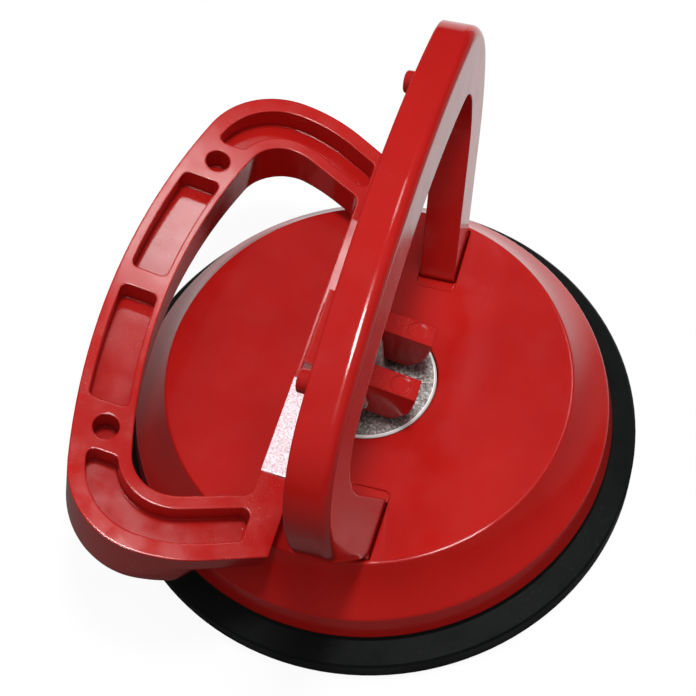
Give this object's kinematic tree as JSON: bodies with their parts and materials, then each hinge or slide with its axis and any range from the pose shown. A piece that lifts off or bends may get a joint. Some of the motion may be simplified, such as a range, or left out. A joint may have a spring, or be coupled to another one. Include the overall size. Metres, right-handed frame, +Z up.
{
  "type": "suction lifter",
  "caption": "Round rubber suction cup under a domed housing, with a fixed D-shaped half handle and a hinged D-shaped cam lever.",
  "frame": {"origin": "centre of the rubber cup's sealing face", "axes": "+Z up through the stud; Y along the lever's hinge pin; the open lever points towards -X"},
  "size_m": [0.12, 0.12, 0.0938],
  "materials": {
    "red_plastic": "glossy injection-moulded red plastic",
    "black_rubber": "satin black rubber with fine scuffs",
    "steel": "zinc-plated steel"
  },
  "bodies": {
    "body": {"rubber_cup": "black_rubber", "housing": "red_plastic", "wear_plate": "steel", "fixed_handle": "red_plastic", "foot_screws": "steel"},
    "stud": {"core_plate": "steel", "centre_stud": "steel", "hinge_pin": "steel", "pin_clip": "steel"},
    "lever": {"lever_handle": "red_plastic"}
  },
  "joints": [
    {"name": "stud_lift", "type": "slide", "parent": "body", "child": "stud", "axis": [0, 0, 1], "range_m": [0, 0.00574]},
    {"name": "lever_hinge", "type": "hinge", "parent": "stud", "child": "lever", "pos_m": [0, 0, 0.0311], "axis": [0, 1, 0], "range_deg": [0, 78]}
  ],
  "couplings": [
    {"joint": "stud_lift", "follows": "lever_hinge", "m_per_rad": 0.004219}
  ]
}
